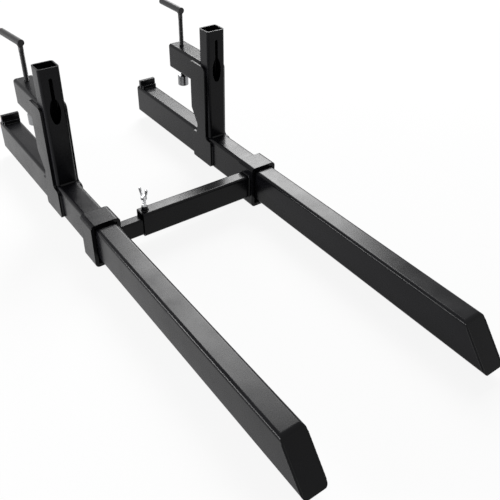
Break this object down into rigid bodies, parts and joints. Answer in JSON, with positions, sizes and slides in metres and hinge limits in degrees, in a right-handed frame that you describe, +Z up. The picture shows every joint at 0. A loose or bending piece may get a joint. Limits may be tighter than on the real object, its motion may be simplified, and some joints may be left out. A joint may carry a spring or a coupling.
{
  "type": "clamp-on pallet forks",
  "caption": "Pair of clamp-on pallet forks for a loader bucket: box-section tines with screw clamps, joined by a telescoping stabiliser bar with sliding sleeves.",
  "frame": {"origin": "under the middle of the pair, at the level of the sleeves' undersides", "axes": "+X from the left fork to the right fork, +Y along the tines towards their clamped rear ends with the tips at -Y, +Z up"},
  "size_m": [0.596, 1.6, 0.4877],
  "materials": {
    "black_paint": "black powder coat, satin gloss",
    "black_oxide": "black coated round steel, satin",
    "plain_steel": "plain turned steel",
    "zinc_plate": "bright zinc plate"
  },
  "bodies": {
    "fork_right": {"tine_right": "black_paint", "rear_cap_right": "black_paint", "rear_lip_right": "black_paint", "side_plate_outer_right": "black_paint", "side_plate_inner_right": "black_paint", "upright_right": "black_paint", "clamp_arm_right": "black_paint", "thread_bush_right": "plain_steel"},
    "foot_right": {"clamp_foot_right": "zinc_plate"},
    "screw_right": {"clamp_screw_right": "black_oxide", "crank_grip_right": "black_oxide", "foot_washer_right": "zinc_plate"},
    "outer_bar": {"bar_outer": "black_paint", "sleeve_right": "black_paint", "lock_nut": "black_paint"},
    "wing": {"wing_screw": "zinc_plate"},
    "inner_bar": {"bar_inner": "black_paint", "sleeve_left": "black_paint"},
    "fork_left": {"tine_left": "black_paint", "rear_cap_left": "black_paint", "rear_lip_left": "black_paint", "side_plate_outer_left": "black_paint", "side_plate_inner_left": "black_paint", "upright_left": "black_paint", "clamp_arm_left": "black_paint", "thread_bush_left": "plain_steel"},
    "foot_left": {"clamp_foot_left": "zinc_plate"},
    "screw_left": {"clamp_screw_left": "black_oxide", "crank_grip_left": "black_oxide", "foot_washer_left": "zinc_plate"}
  },
  "joints": [
    {"name": "foot_slide_right", "type": "slide", "parent": "fork_right", "child": "foot_right", "axis": [0, 0, 1], "range_m": [-0.1, 0.02]},
    {"name": "screw_turn_right", "type": "hinge", "parent": "foot_right", "child": "screw_right", "pos_m": [0.256, 0.508, 0.2474], "axis": [0, 0, 1], "range_deg": [-9000, 1800]},
    {"name": "bar_slide", "type": "slide", "parent": "fork_right", "child": "outer_bar", "axis": [0, 1, 0], "range_m": [-0.75, 0.159]},
    {"name": "wing_turn", "type": "hinge", "parent": "outer_bar", "child": "wing", "pos_m": [-0.125, 0.089, 0.1127], "axis": [0, 0, 1], "range_deg": [-72, 1440]},
    {"name": "telescope", "type": "slide", "parent": "outer_bar", "child": "inner_bar", "axis": [-1, 0, 0], "range_m": [-0.07, 0.2]},
    {"name": "fork_slide_left", "type": "slide", "parent": "inner_bar", "child": "fork_left", "axis": [0, 1, 0], "range_m": [-0.159, 0.75]},
    {"name": "foot_slide_left", "type": "slide", "parent": "fork_left", "child": "foot_left", "axis": [0, 0, 1], "range_m": [-0.1, 0.02]},
    {"name": "screw_turn_left", "type": "hinge", "parent": "foot_left", "child": "screw_left", "pos_m": [-0.256, 0.508, 0.2474], "axis": [0, 0, 1], "range_deg": [-9000, 1800]}
  ],
  "couplings": [
    {"joint": "screw_turn_right", "follows": "foot_slide_right", "rad_per_m": 1570.8},
    {"joint": "screw_turn_left", "follows": "foot_slide_left", "rad_per_m": 1570.8}
  ]
}
